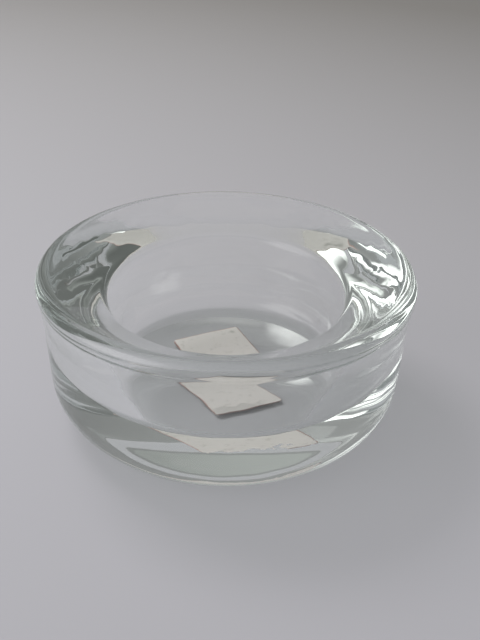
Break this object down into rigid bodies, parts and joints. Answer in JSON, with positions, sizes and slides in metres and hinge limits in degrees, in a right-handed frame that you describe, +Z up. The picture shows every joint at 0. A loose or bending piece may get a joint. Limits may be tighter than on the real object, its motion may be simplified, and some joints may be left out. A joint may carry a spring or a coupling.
{
  "type": "candle bowl",
  "caption": "Heavy round clear-glass candle bowl with a rolled rim, a flare sloping to a candle well, a thick solid base on a big rounded foot, a shallow domed underside and a blank paper label stuck up under it.",
  "frame": {"origin": "on the bowl's axis, at the surface that the standing ring rests on", "axes": "+Z up along the bowl's axis, out of the candle well; -Y towards the picture's camera; +X to the camera's right"},
  "size_m": [0.066, 0.066, 0.0288],
  "materials": {
    "clear_glass": "fire-polished pressed soda-lime glass",
    "adhesive_film": "clear acrylic adhesive coat",
    "label_paper": "uncoated white label paper"
  },
  "bodies": {
    "root": {"glass_bowl": "clear_glass", "label_adhesive": "adhesive_film", "base_label": "label_paper"}
  },
  "joints": []
}
